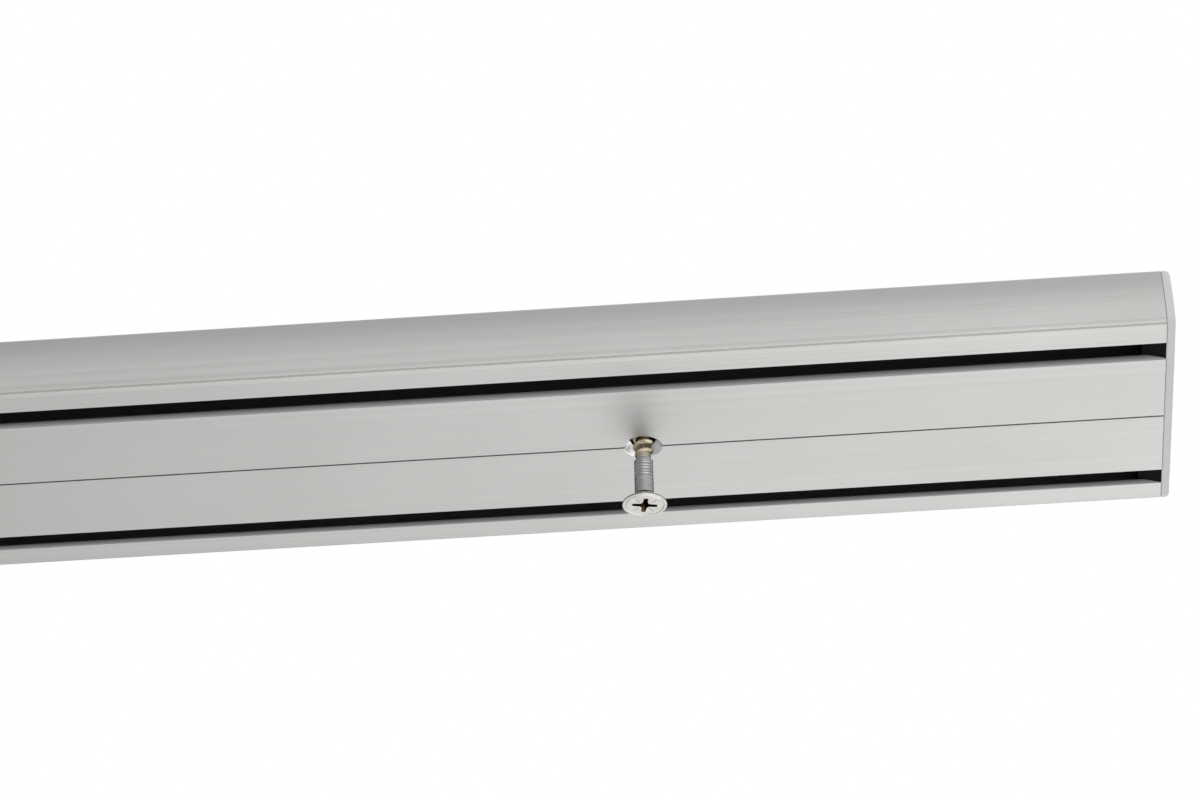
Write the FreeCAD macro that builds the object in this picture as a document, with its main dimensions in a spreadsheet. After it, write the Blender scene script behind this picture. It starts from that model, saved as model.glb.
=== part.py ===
import FreeCAD, Part
import math
import os
import re
import Sketcher

# Two-channel aluminium curtain track for a ceiling, with end caps, gliders and one
# fixing screw that stands half driven out of its countersunk hole.
# X runs along the rail, Z points up to the ceiling, and the origin is the middle of
# the face that meets the ceiling. The slots open downwards.
# Heights inside a section are measured up from the visible underside.

SIZES = {
    "rail_length": 1200,
    "rail_width": 57,
    "rail_height": 14,
    "wall": 1.4,
    "lip_thick": 1.35,
    "lip_rise": 0.25,
    "web": 1.4,
    "channel_width": 13.96,
    "slot_width": 4.8,
    "corner_radius": 1.6,
    "side_radius": 22,
    "shoulder_radius": 3,
    "groove_width": 0.44,
    "groove_depth": 0.5,
    "edge_groove_angle": 42,
    "edge_groove_spread": 7,
    "edge_groove_depth": 0.25,
    "rib_width": 12,
    "rib_thick": 2.8,
    "hole_count": 4,
    "hole_inset": 90.6,
    "hole_bore": 4.3,
    "countersink": 6.8,
    "cap_thick": 1.55,
    "cap_rounding": 0.8,
    "cap_gap": 0.1,
    "plug_length": 4,
    "blade_thick": 1.6,
    "blade_length": 9,
    "head_width": 7.8,
    "head_rim": 0.45,
    "cone_width": 6.6,
    "head_drop": 12,
    "shank_width": 3.3,
    "shank_length": 9,
    "thread_width": 3.7,
    "screw_length": 25,
    "point_length": 3,
    "recess_span": 4.2,
    "recess_arm": 0.95,
    "recess_depth": 1.7,
    "glider_count": 8,
    "glider_length": 12,
    "glider_thick": 2.2,
    "glider_gap": 0.15,
    "flank_gap": 1.78,
    "head_chamfer": 2.4,
    "neck_length": 6,
    "neck_gap": 0.35,
    "eye_width": 8,
    "eye_hole": 4.4,
    "eye_thick": 2.6,
    "eye_drop": 5.2,
    "park_gap": 1.5,
    "park_pitch": 14,
}

# The outside curve: a corner arc at the foot, one long side arc and a shoulder arc.
SIDE_FOOT = "(lip_rise + corner_radius)"
SIDE_AXIS = "(rail_width / 2 - side_radius)"
RISE = f"(rail_height - shoulder_radius - {SIDE_FOOT})"
REACH = "(side_radius - shoulder_radius)"
RUN = f"sqrt({REACH}^2 - {RISE}^2)"
SHOULDER_AXIS = f"({SIDE_AXIS} + {RUN})"
SHOULDER_FOOT = "(rail_height - shoulder_radius)"
CORNER_AXIS = "(rail_width / 2 - corner_radius)"

# Each channel lies against the rail's outer wall, with its slot in its middle. What is
# left between the two channels' webs is the hollow in the rail's middle.
SLOT_AXIS = "(rail_width / 2 - wall - channel_width / 2)"
CHANNEL_IN = f"({SLOT_AXIS} - channel_width / 2)"
HOLLOW_HALF = f"({CHANNEL_IN} - web)"
SLOT_IN = f"({SLOT_AXIS} - slot_width / 2)"
SLOT_OUT = f"({SLOT_AXIS} + slot_width / 2)"


def bind(text):
    """Puts the sheet's name before each size in an expression."""
    return re.sub(r"[a-z_]+", lambda word: full_name(word.group()), text)


def full_name(word):
    return "Sizes." + word if word in SIZES else word


def make_sheet(doc):
    sheet = doc.addObject("Spreadsheet::Sheet", "Sizes")
    for row, (name, value) in enumerate(SIZES.items(), start=1):
        sheet.set(f"A{row}", name)
        sheet.set(f"B{row}", str(value))
        sheet.setAlias(f"B{row}", name)
    doc.recompute()
    return sheet


def origin_part(body, role):
    return next(item for item in body.Origin.OriginFeatures if item.Role == role)


def new_body(doc, label):
    body = doc.addObject("PartDesign::Body", label)
    body.Label = label
    return body


def place(body, **coordinates):
    for axis, text in coordinates.items():
        body.setExpression("Placement.Base." + axis, bind(text))


def new_sketch(body, name, role, path, **offset):
    """A closed outline on one of the body's origin planes, moved by the named offset."""
    sketch = body.newObject("Sketcher::SketchObject", name)
    sketch.AttachmentSupport = (origin_part(body, role), [""])
    sketch.MapMode = "FlatFace"
    for axis, text in offset.items():
        sketch.setExpression("AttachmentOffset.Base." + axis, bind(text))
    draw(sketch, path)
    return sketch


def measured(sketch, text):
    return float(sketch.evalExpression(bind(text)))


def edge_between(sketch, step, first, last):
    """A line, or an arc where the step names a radius and a centre, and its end numbers."""
    if len(step) == 2:
        return Part.LineSegment(first, last), (1, 2)
    centre = FreeCAD.Vector(measured(sketch, step[3]), measured(sketch, step[4]), 0)
    circle = Part.Circle(centre, FreeCAD.Vector(0, 0, 1), (first - centre).Length)
    start = math.atan2(first.y - centre.y, first.x - centre.x)
    stop = math.atan2(last.y - centre.y, last.x - centre.x)
    if (stop - start) % (2 * math.pi) > math.pi:
        return Part.ArcOfCircle(circle, stop, start), (2, 1)
    return Part.ArcOfCircle(circle, start, stop), (1, 2)


def draw(sketch, path):
    """Each step is a corner (across, up), with (radius, centre across, centre up) where
    the edge that leaves it is an arc. Every corner and radius is tied to the sheet."""
    corners = [FreeCAD.Vector(measured(sketch, step[0]), measured(sketch, step[1]), 0) for step in path]
    edges = []
    ends = []
    for number, step in enumerate(path):
        last = corners[(number + 1) % len(path)]
        edge, numbers = edge_between(sketch, step, corners[number], last)
        edges.append(edge)
        ends.append(numbers)
    sketch.addGeometry(edges, False)
    for number in range(len(path)):
        before = (number - 1) % len(path)
        sketch.addConstraint(
            Sketcher.Constraint("Coincident", before, ends[before][1], number, ends[number][0]))
    for number, step in enumerate(path):
        tie_corner(sketch, number, ends[number][0], step)


def tie_corner(sketch, number, end, step):
    for kind, text in (("DistanceX", step[0]), ("DistanceY", step[1])):
        value = measured(sketch, text)
        tie(sketch, Sketcher.Constraint(kind, -1, 1, number, end, value), text)
    if len(step) > 2:
        tie(sketch, Sketcher.Constraint("Radius", number, measured(sketch, step[2])), step[2])


def tie(sketch, constraint, text):
    index = sketch.addConstraint(constraint)
    if text != "0":
        sketch.setExpression(f"Constraints[{index}]", bind(text))


def feature(body, kind, name, sketch, **sizes):
    item = body.newObject("PartDesign::" + kind, name)
    item.Profile = sketch
    for prop, text in sizes.items():
        item.setExpression(prop, bind(text))
    return item


def mirror(body, name, originals, role="XZ_Plane"):
    item = body.newObject("PartDesign::Mirrored", name)
    item.Originals = originals
    item.MirrorPlane = (origin_part(body, role), [""])
    body.Tip = item
    return item


def channel_corners(gap):
    """The channel from its inner foot over the top to its outer foot, shrunk by gap."""
    radius = f"(side_radius - wall - {gap})"
    foot = f"(lip_thick + {gap})"
    roof = f"(rail_height - wall - {gap})"
    outer_foot = f"({SIDE_AXIS} + sqrt({radius}^2 - ({foot} - {SIDE_FOOT})^2))"
    return [
        (f"{CHANNEL_IN} + {gap}", foot),
        (f"{CHANNEL_IN} + {gap}", roof),
        (SHOULDER_AXIS, roof, f"shoulder_radius - wall - {gap}", SHOULDER_AXIS, SHOULDER_FOOT),
        (f"{SIDE_AXIS} + {radius} * {RUN} / {REACH}", f"{SIDE_FOOT} + {radius} * {RISE} / {REACH}",
         radius, SIDE_AXIS, SIDE_FOOT),
        (outer_foot, foot),
    ]


def corner_point(angle, radius):
    """A point about the foot's corner arc, by its angle from straight down."""
    return (f"{CORNER_AXIS} + ({radius}) * sin({angle})", f"{SIDE_FOOT} - ({radius}) * cos({angle})")


def outside_curve():
    """From the side's foot up and over the shoulder to the top face."""
    return [
        ("rail_width / 2", SIDE_FOOT, "side_radius", SIDE_AXIS, SIDE_FOOT),
        (f"{SIDE_AXIS} + side_radius * {RUN} / {REACH}", f"{SIDE_FOOT} + side_radius * {RISE} / {REACH}",
         "shoulder_radius", SHOULDER_AXIS, SHOULDER_FOOT),
        (SHOULDER_AXIS, "rail_height"),
        ("0", "rail_height"),
    ]


def corner_arc_from(across, up):
    return (across, up, "corner_radius", CORNER_AXIS, SIDE_FOOT)


def rail_half_section():
    groove_start = corner_point("edge_groove_angle - edge_groove_spread", "corner_radius")
    groove_root = corner_point("edge_groove_angle", "corner_radius - edge_groove_depth")
    groove_end = corner_point("edge_groove_angle + edge_groove_spread", "corner_radius")
    underside = [
        ("0", "groove_depth"),
        ("groove_width / 2", "0"),
        (SLOT_IN, "0"),
        (SLOT_IN, "lip_thick"),
    ]
    outer_lip = [
        (SLOT_OUT, "lip_thick"),
        (SLOT_OUT, "lip_rise"),
        corner_arc_from(CORNER_AXIS, "lip_rise"),
        groove_start,
        groove_root,
        corner_arc_from(*groove_end),
    ]
    hollow = [
        ("0", "rail_height - wall"),
        (HOLLOW_HALF, "rail_height - wall"),
        (HOLLOW_HALF, "lip_thick"),
        ("rib_width / 2", "lip_thick"),
        ("rib_width / 2", "rib_thick"),
        ("0", "rib_thick"),
    ]
    return underside + channel_corners("0") + outer_lip + outside_curve() + hollow


def build_rail(doc):
    rail = new_body(doc, "rail")
    section = new_sketch(rail, "rail_section", "YZ_Plane", rail_half_section(), y="-rail_height")
    half = feature(rail, "Pad", "rail_half", section, Length="rail_length")
    half.SideType = "Symmetric"
    mirror(rail, "rail_whole", [half])
    doc.recompute()
    hole = [
        ("0", "-wall"),
        ("countersink / 2 + wall", "-wall"),
        ("hole_bore / 2", "(countersink - hole_bore) / 2"),
        ("hole_bore / 2", "rail_height + wall"),
        ("0", "rail_height + wall"),
    ]
    hole_sketch = new_sketch(rail, "hole_section", "XZ_Plane", hole,
                             x="hole_inset - rail_length / 2", y="-rail_height")
    drilling = feature(rail, "Groove", "countersunk_hole", hole_sketch)
    drilling.ReferenceAxis = (hole_sketch, ["V_Axis"])
    drilling.Angle = 360
    rail.Tip = drilling
    row = rail.newObject("PartDesign::LinearPattern", "hole_row")
    row.Originals = [drilling]
    row.Direction = (origin_part(rail, "X_Axis"), [""])
    row.setExpression("Length", bind("rail_length - 2 * hole_inset"))
    row.setExpression("Occurrences", bind("hole_count"))
    rail.Tip = row
    return rail


def cap_half_outline():
    return [
        ("0", "0"),
        (SLOT_IN, "0"),
        (SLOT_OUT, "lip_rise"),
        corner_arc_from(CORNER_AXIS, "lip_rise"),
    ] + outside_curve()


def blade_outline():
    outer = f"{HOLLOW_HALF} - cap_gap"
    return [
        (f"{outer} - blade_thick", "rib_thick + cap_gap"),
        (outer, "rib_thick + cap_gap"),
        (outer, "rail_height - wall - cap_gap"),
        (f"{outer} - blade_thick", "rail_height - wall - cap_gap"),
    ]


def gusset_outline():
    """A wedge that closes the slot's end: flush with the lip's top at the plug's nose."""
    return [
        ("0", "lip_rise + cap_gap"),
        ("0", "lip_thick + cap_gap"),
        ("-plug_length", "lip_thick + cap_gap"),
    ]


def rim_edges(shape):
    """The edges round the plate's outer face."""
    outside = shape.BoundBox.XMax
    names = []
    for number, edge in enumerate(shape.Edges, start=1):
        if all(abs(vertex.X - outside) < 1e-6 for vertex in edge.Vertexes):
            names.append(f"Edge{number}")
    return names


def build_cap(doc, label, end):
    """A plate with a plug in each channel, a wedge in each slot and two blades in the hollow."""
    cap = new_body(doc, label)
    drop = {"y": "-rail_height"}
    plate_sketch = new_sketch(cap, label + "_plate", "YZ_Plane", cap_half_outline(), **drop)
    plate = feature(cap, "Pad", label + "_plate_half", plate_sketch, Length="cap_thick")
    plug_sketch = new_sketch(cap, label + "_plug_section", "YZ_Plane", channel_corners("cap_gap"), **drop)
    plug = feature(cap, "Pad", label + "_plug", plug_sketch, Length="plug_length")
    blade_sketch = new_sketch(cap, label + "_blade_section", "YZ_Plane", blade_outline(), **drop)
    blade = feature(cap, "Pad", label + "_blade", blade_sketch, Length="blade_length")
    gusset_sketch = new_sketch(cap, label + "_gusset_side", "XZ_Plane", gusset_outline(),
                               y="-rail_height", z=f"-{SLOT_AXIS}")
    gusset = feature(cap, "Pad", label + "_gusset", gusset_sketch, Length="slot_width - 2 * cap_gap")
    gusset.SideType = "Symmetric"
    plug.Reversed = True
    blade.Reversed = True
    whole = mirror(cap, label + "_both_sides", [plate, plug, blade, gusset])
    doc.recompute()
    rim = cap.newObject("PartDesign::Fillet", label + "_rim")
    rim.Base = (whole, rim_edges(whole.Shape))
    rim.setExpression("Radius", bind("cap_rounding"))
    cap.Tip = rim
    if end < 0:
        cap.Placement = FreeCAD.Placement(FreeCAD.Vector(), FreeCAD.Rotation(FreeCAD.Vector(0, 0, 1), 180))
    place(cap, x=f"{end} * rail_length / 2")
    return cap


def screw_half_section():
    """From the head's face, over its thin flange and its cone, up to the point."""
    return [
        ("0", "0"),
        ("head_width / 2", "0"),
        ("head_width / 2", "head_rim"),
        ("cone_width / 2", "head_rim"),
        ("shank_width / 2", "head_rim + (cone_width - shank_width) / 2"),
        ("shank_width / 2", "shank_length"),
        ("thread_width / 2", "shank_length + (thread_width - shank_width) / 2"),
        ("thread_width / 2", "screw_length - point_length"),
        ("0", "screw_length"),
    ]


def cross_outline():
    """A cross whose arms point along X and Y."""
    arm = "recess_arm / 2"
    span = "recess_span / 2"
    quarter = [(span, arm), (arm, arm), (arm, span)]
    signs = [(1, 1), (-1, 1), (-1, -1), (1, -1)]
    path = []
    for turn, (across, up) in enumerate(signs):
        corners = quarter if turn % 2 == 0 else quarter[::-1]
        path += [(f"{across} * {x}", f"{up} * {y}") for x, y in corners]
    return path


def build_screw(doc):
    screw = new_body(doc, "fixing_screw")
    profile = new_sketch(screw, "screw_section", "XZ_Plane", screw_half_section())
    turned = feature(screw, "Revolution", "screw_turned", profile)
    turned.ReferenceAxis = (profile, ["V_Axis"])
    turned.Angle = 360
    doc.recompute()
    cross = new_sketch(screw, "recess_cross", "XY_Plane", cross_outline())
    recess = feature(screw, "Pocket", "recess", cross, Length="recess_depth")
    recess.Reversed = True
    screw.Tip = recess
    place(screw, x="rail_length / 2 - hole_inset", z="-rail_height - head_drop")
    return screw


def glider_head_outline():
    """Narrower than the channel, with its corners cut back so that it can't jam."""
    half = "(channel_width / 2 - flank_gap)"
    flank = f"({half} - head_chamfer)"
    end = "glider_length / 2"
    straight = f"({end} - head_chamfer)"
    return [
        (f"-{straight}", f"-{half}"),
        (straight, f"-{half}"),
        (end, f"-{flank}"),
        (end, flank),
        (straight, half),
        (f"-{straight}", half),
        (f"-{end}", flank),
        (f"-{end}", f"-{flank}"),
    ]


def box_outline(half_length, half_width):
    return [
        (f"-{half_length}", f"-{half_width}"),
        (half_length, f"-{half_width}"),
        (half_length, half_width),
        (f"-{half_length}", half_width),
    ]


def eye_outline():
    """A tab that ends in a half round about the eye, measured from the eye's centre."""
    half = "eye_width / 2"
    return [
        (half, "0"),
        (half, "eye_drop"),
        (f"-{half}", "eye_drop"),
        (f"-{half}", "0", half, "0", "0"),
        ("0", f"-{half}", half, "0", "0"),
    ]


def eye_hole_outline():
    half = "eye_hole / 2"
    return [
        (half, "0", half, "0", "0"),
        ("0", half, half, "0", "0"),
        (f"-{half}", "0", half, "0", "0"),
        ("0", f"-{half}", half, "0", "0"),
    ]


def build_glider(doc, label, number, side):
    """A flat head on the lips, a neck in the slot and an eye below for the curtain's hook."""
    glider = new_body(doc, label)
    head_foot = "(lip_thick + glider_gap - rail_height)"
    head_sketch = new_sketch(glider, label + "_head_plan", "XY_Plane", glider_head_outline(), z=head_foot)
    feature(glider, "Pad", label + "_head", head_sketch, Length="glider_thick")
    neck = box_outline("neck_length / 2", "(slot_width / 2 - neck_gap)")
    neck_sketch = new_sketch(glider, label + "_neck_plan", "XY_Plane", neck, z=head_foot)
    neck_pad = feature(glider, "Pad", label + "_neck", neck_sketch, Length="lip_thick + 2 * glider_gap")
    neck_pad.Reversed = True
    tab_sketch = new_sketch(glider, label + "_eye_side", "XZ_Plane", eye_outline(),
                            y="-rail_height - glider_gap - eye_drop")
    tab = feature(glider, "Pad", label + "_eye", tab_sketch, Length="eye_thick")
    tab.SideType = "Symmetric"
    doc.recompute()
    hole_sketch = new_sketch(glider, label + "_eye_hole", "XZ_Plane", eye_hole_outline(),
                             y="-rail_height - glider_gap - eye_drop")
    hole = feature(glider, "Pocket", label + "_eye_bore", hole_sketch, Length="2 * eye_thick")
    hole.SideType = "Symmetric"
    glider.Tip = hole
    first = "plug_length + park_gap + glider_length / 2 - rail_length / 2"
    place(glider, x=f"{first} + {number - 1} * park_pitch", y=f"{side} * {SLOT_AXIS}")
    return glider


def check(doc, parts):
    """Stops before anything is written where a feature failed or a solid isn't sound."""
    for item in doc.Objects:
        if "Invalid" in item.State or "Error" in item.State:
            raise RuntimeError(f"{item.Name} failed: {item.State}")
    for part in parts:
        shape = part.Shape
        if shape.isNull() or not shape.isValid() or len(shape.Solids) != 1:
            raise RuntimeError(f"{part.Label} isn't one sound solid")


def build():
    doc = FreeCAD.newDocument("curtain_track")
    sheet = make_sheet(doc)
    parts = [build_rail(doc), build_cap(doc, "end_cap_right", 1), build_cap(doc, "end_cap_left", -1)]
    parts.append(build_screw(doc))
    for name, side in (("front", -1), ("rear", 1)):
        for number in range(1, int(sheet.glider_count) + 1):
            parts.append(build_glider(doc, f"{name}_glider_{number}", number, side))
    doc.recompute()
    check(doc, parts)
    os.makedirs("parts", exist_ok=True)
    for part in parts:
        part.Shape.exportStep(f"parts/{part.Label}.step")
        print(f"{part.Label}: {part.Shape.Volume:.1f} mm3")


build()
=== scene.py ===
# %% [markdown]
# # A two-channel curtain track, seen from below
#
# This lesson dresses a measured model of a ceiling curtain track. The model already holds
# the true sizes, so it is used as a frame: each piece made here stands exactly where the
# frame says. The track is an aluminium extrusion with two slots, a plastic cap on each end,
# plastic gliders in its channels, and one fixing screw that is only half driven.

# %% Loading the frame
import math

import bmesh
import bpy
from mathutils import Matrix, Vector


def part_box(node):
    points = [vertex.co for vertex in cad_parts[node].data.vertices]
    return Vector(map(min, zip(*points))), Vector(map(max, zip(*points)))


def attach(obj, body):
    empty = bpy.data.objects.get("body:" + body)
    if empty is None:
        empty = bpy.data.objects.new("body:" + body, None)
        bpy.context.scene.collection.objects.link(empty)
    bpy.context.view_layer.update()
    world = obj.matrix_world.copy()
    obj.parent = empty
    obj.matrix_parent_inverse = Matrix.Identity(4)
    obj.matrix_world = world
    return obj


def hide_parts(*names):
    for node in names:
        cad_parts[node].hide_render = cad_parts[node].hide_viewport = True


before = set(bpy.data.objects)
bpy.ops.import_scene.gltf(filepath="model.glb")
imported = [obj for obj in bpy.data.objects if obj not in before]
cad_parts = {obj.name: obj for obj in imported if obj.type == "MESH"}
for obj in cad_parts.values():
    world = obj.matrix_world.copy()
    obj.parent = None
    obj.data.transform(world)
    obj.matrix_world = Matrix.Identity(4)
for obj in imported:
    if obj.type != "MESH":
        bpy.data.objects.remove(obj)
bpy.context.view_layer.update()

MM = 0.001
scene = bpy.context.scene

# %% [markdown]
# ## Where things are
#
# The rail's box gives its length, width and height. The section's own sizes, such as the
# slot's width, are not in the frame, so they are repeated here with the names that a
# maker would use. Heights are measured up from the visible underside.

# %% Sizes of the section
rail_low, rail_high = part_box("rail")
LENGTH = rail_high.x - rail_low.x
HALF_WIDTH = rail_high.y
HEIGHT = rail_high.z - rail_low.z
UNDERSIDE = rail_low.z
WALL = 1.4 * MM
WEB = 1.4 * MM
LIP_THICK = 1.35 * MM
LIP_RISE = 0.25 * MM
CHANNEL_WIDTH = 13.96 * MM
SLOT_WIDTH = 4.8 * MM
CORNER_RADIUS = 1.6 * MM
SIDE_RADIUS = 22 * MM
SHOULDER_RADIUS = 3 * MM
GROOVE_WIDTH = 0.44 * MM
GROOVE_DEPTH = 0.5 * MM
EDGE_GROOVE_ANGLE = math.radians(42)
EDGE_GROOVE_SPREAD = math.radians(7)
EDGE_GROOVE_DEPTH = 0.25 * MM
RIB_WIDTH = 12 * MM
RIB_THICK = 2.8 * MM
HOLE_COUNT = 4
HOLE_INSET = 90.6 * MM
HOLE_BORE = 4.3 * MM
COUNTERSINK = 6.8 * MM
SLOT_AXIS = HALF_WIDTH - WALL - CHANNEL_WIDTH / 2
print("slot axis in mm:", round(SLOT_AXIS / MM, 2))

# %% [markdown]
# ## The camera
#
# The viewer stands below and a little to the right of the fixing screw, looks up at about
# 33 degrees and uses a long lens, so that the long edges hardly converge. The camera is
# placed by three angles and a distance, and is aimed so that the mouth of the screw hole
# falls on the pixel where the photograph has it.

# %% The camera
IMAGE_WIDTH = 1200
IMAGE_HEIGHT = 800
SENSOR = 36.0
FOCAL_PIXELS = 4581
HOLE_PIXEL = (643.1, 446.8)
DISTANCE = 800 * MM
YAW = math.radians(-4.04)
PITCH = math.radians(32.92)
ROLL = math.radians(-1.24)


def view_axes(yaw, pitch, roll):
    """The picture's right and up directions and the line of sight."""
    level = math.cos(pitch)
    ahead = Vector((math.sin(yaw) * level, math.cos(yaw) * level, math.sin(pitch)))
    right = Vector((math.cos(yaw), -math.sin(yaw), 0))
    up = right.cross(ahead)
    turned_right = math.cos(roll) * right + math.sin(roll) * up
    turned_up = math.cos(roll) * up - math.sin(roll) * right
    return turned_right, turned_up, ahead


def place_camera():
    right, up, ahead = view_axes(YAW, PITCH, ROLL)
    across = (HOLE_PIXEL[0] - IMAGE_WIDTH / 2) / FOCAL_PIXELS
    above = (IMAGE_HEIGHT / 2 - HOLE_PIXEL[1]) / FOCAL_PIXELS
    target = Vector((rail_high.x - HOLE_INSET, 0, UNDERSIDE))
    eye = target - DISTANCE * (ahead + across * right + above * up)
    data = bpy.data.cameras.new("viewer")
    data.sensor_width = SENSOR
    data.lens = FOCAL_PIXELS / IMAGE_WIDTH * SENSOR
    camera = bpy.data.objects.new("viewer", data)
    scene.collection.objects.link(camera)
    turn = Matrix((right, up, -ahead)).transposed().to_4x4()
    camera.matrix_world = Matrix.Translation(eye) @ turn
    scene.camera = camera
    return camera


camera = place_camera()
print("camera in mm:", [round(c / MM, 1) for c in camera.matrix_world.translation])

# %% [markdown]
# ## Drawing an outline by hand
#
# Every part of the track is a section pushed along a line, or a profile turned about an
# axis. By hand, such an outline is drawn with one vertex that is extruded from corner to
# corner, and spun where the outline is round. These helpers do the same. `begin` makes the
# first vertex, `draw_to` extrudes it to the next corner, and `sweep` spins it about a
# centre. The spin operator turns against the right-hand rule, so `sweep` changes the sign.

# %% The pen
ALONG = Vector((1, 0, 0))
ACROSS = Vector((0, 1, 0))
UPRIGHT = Vector((0, 0, 1))
ARC_STEP = math.radians(3)


def deselect():
    if bpy.context.object and bpy.context.object.mode != "OBJECT":
        bpy.ops.object.mode_set(mode="OBJECT")
    bpy.ops.object.select_all(action="DESELECT")


def begin(name, point):
    """A new piece in edit mode: a tiny plane, merged to one vertex at the point."""
    deselect()
    bpy.ops.mesh.primitive_plane_add(size=MM, location=point)
    piece = bpy.context.object
    piece.name = name
    piece.data.name = name
    bpy.ops.object.transform_apply(location=True)
    bpy.ops.object.mode_set(mode="EDIT")
    bpy.ops.mesh.select_mode(type="VERT")
    bpy.ops.mesh.select_all(action="SELECT")
    bpy.ops.mesh.merge(type="CENTER")
    return piece


def pen():
    """Where the selected vertex is."""
    mesh = bmesh.from_edit_mesh(bpy.context.object.data)
    return next(vertex.co.copy() for vertex in mesh.verts if vertex.select)


def draw_to(point):
    bpy.ops.mesh.extrude_region_move(TRANSFORM_OT_translate={"value": point - pen()})


def draw_through(points):
    for point in points:
        draw_to(point)


def sweep(centre, angle, axis=ALONG):
    steps = max(2, round(abs(angle) / ARC_STEP))
    bpy.ops.mesh.spin(steps=steps, angle=-angle, center=centre, axis=axis)


print("a round outline gets a corner about every", round(math.degrees(ARC_STEP)), "degrees")

# %% [markdown]
# ## From an outline to a solid
#
# A closed outline is filled with one face, and the face is extruded. With no mouse at hand,
# faces, edges and vertices are chosen by a test of where they lie.

# %% Filling, pushing and choosing
TOUCHING = 0.01 * MM
SAME_PLACE = 1e-6


def close():
    """Joins the last vertex to the first and fills the outline with one face."""
    bpy.ops.mesh.select_all(action="SELECT")
    bpy.ops.mesh.remove_doubles(threshold=SAME_PLACE)
    bpy.ops.mesh.edge_face_add()


def push(offset):
    """Extrudes the filled outline into a solid."""
    bpy.ops.mesh.select_all(action="SELECT")
    bpy.ops.mesh.extrude_region_move(TRANSFORM_OT_translate={"value": offset})
    bpy.ops.mesh.select_all(action="SELECT")
    bpy.ops.mesh.normals_make_consistent(inside=False)


def select_where(kind, test):
    """Selects the faces, edges or vertices whose points all pass the test, and no others."""
    bpy.ops.mesh.select_all(action="DESELECT")
    bpy.ops.mesh.select_mode(type=kind)
    mesh = bmesh.from_edit_mesh(bpy.context.object.data)
    groups = {"VERT": mesh.verts, "EDGE": mesh.edges, "FACE": mesh.faces}
    for item in groups[kind]:
        points = [item.co] if kind == "VERT" else [vertex.co for vertex in item.verts]
        if all(test(point) for point in points):
            item.select_set(True)
    bmesh.update_edit_mesh(bpy.context.object.data)


def near(value, target):
    return abs(value - target) < TOUCHING


def open_middle():
    """Takes out the faces on the middle plane, where the mirrored half will join."""
    select_where("FACE", lambda point: near(point.y, 0))
    bpy.ops.mesh.delete(type="FACE")


print("points closer than", round(TOUCHING / MM, 2), "mm count as touching")

# %% [markdown]
# ## Finishing a mesh
#
# Modifiers do the work that would be tedious by hand: a bevel breaks every sharp edge, a
# boolean cuts a hole, a mirror makes the other half, and weighted normals keep the large
# flat faces flat where they run into an arc. Each one is applied at once, so that the mesh
# itself holds the shape.

# %% Modifiers
SMOOTH_ANGLE = math.radians(28)
BEVEL_ANGLE = math.radians(40)
EDGE_STEPS = 3
NORMAL_WEIGHT = 50


def pick(*pieces):
    """Selects these pieces alone, and makes the first the active one."""
    deselect()
    for piece in pieces:
        piece.select_set(True)
    bpy.context.view_layer.objects.active = pieces[0]


def apply_modifier(piece, kind, **settings):
    pick(piece)
    modifier = piece.modifiers.new(kind.lower(), kind)
    for name, value in settings.items():
        setattr(modifier, name, value)
    bpy.ops.object.modifier_apply(modifier=modifier.name)


def cut(piece, tool):
    apply_modifier(piece, "BOOLEAN", operation="DIFFERENCE", object=tool, solver="EXACT")
    bpy.data.objects.remove(tool)


def mirror_across(piece):
    apply_modifier(piece, "MIRROR", use_axis=(False, True, False), use_clip=True,
                   merge_threshold=SAME_PLACE)


def break_edges(piece, width):
    apply_modifier(piece, "BEVEL", width=width, segments=EDGE_STEPS, limit_method="ANGLE",
                   angle_limit=BEVEL_ANGLE, miter_outer="MITER_ARC", use_clamp_overlap=True)


def smooth(piece):
    pick(piece)
    bpy.ops.object.shade_smooth_by_angle(angle=SMOOTH_ANGLE)
    apply_modifier(piece, "WEIGHTED_NORMAL", mode="FACE_AREA", weight=NORMAL_WEIGHT, keep_sharp=True)


def count_triangles(piece):
    piece.data.calc_loop_triangles()
    return len(piece.data.loop_triangles)


print("bevels take the edges sharper than", round(math.degrees(BEVEL_ANGLE)), "degrees")

# %% [markdown]
# ## The section of the rail
#
# The outside of the rail is three arcs: a small one at the foot, one long gentle arc up
# the side, and a shoulder. Their centres follow from the radii, because each arc runs into
# the next without a corner. The channel inside has the same centres and smaller radii,
# which is how an extrusion keeps its wall even.

# %% Centres of the arcs
FOOT = LIP_RISE + CORNER_RADIUS
FOOT_AXIS = HALF_WIDTH - CORNER_RADIUS
SIDE_AXIS = HALF_WIDTH - SIDE_RADIUS
REACH = SIDE_RADIUS - SHOULDER_RADIUS
RISE = HEIGHT - SHOULDER_RADIUS - FOOT
RUN = math.sqrt(REACH ** 2 - RISE ** 2)
SHOULDER_AXIS = SIDE_AXIS + RUN
SIDE_SWEEP = math.atan2(RISE, RUN)
CHANNEL_IN = SLOT_AXIS - CHANNEL_WIDTH / 2
HOLLOW_HALF = CHANNEL_IN - WEB
SLOT_IN = SLOT_AXIS - SLOT_WIDTH / 2
SLOT_OUT = SLOT_AXIS + SLOT_WIDTH / 2
print("side sweeps through", round(math.degrees(SIDE_SWEEP), 1), "degrees")

# %% Outside and channel
def at(y, height, x=0.0):
    """A point of the section, by its height above the underside."""
    return Vector((x, y, UNDERSIDE + height))


def foot_point(angle, radius, x):
    """A point about the foot's arc, by its angle from straight down."""
    return at(FOOT_AXIS + radius * math.sin(angle), FOOT - radius * math.cos(angle), x)


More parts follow.
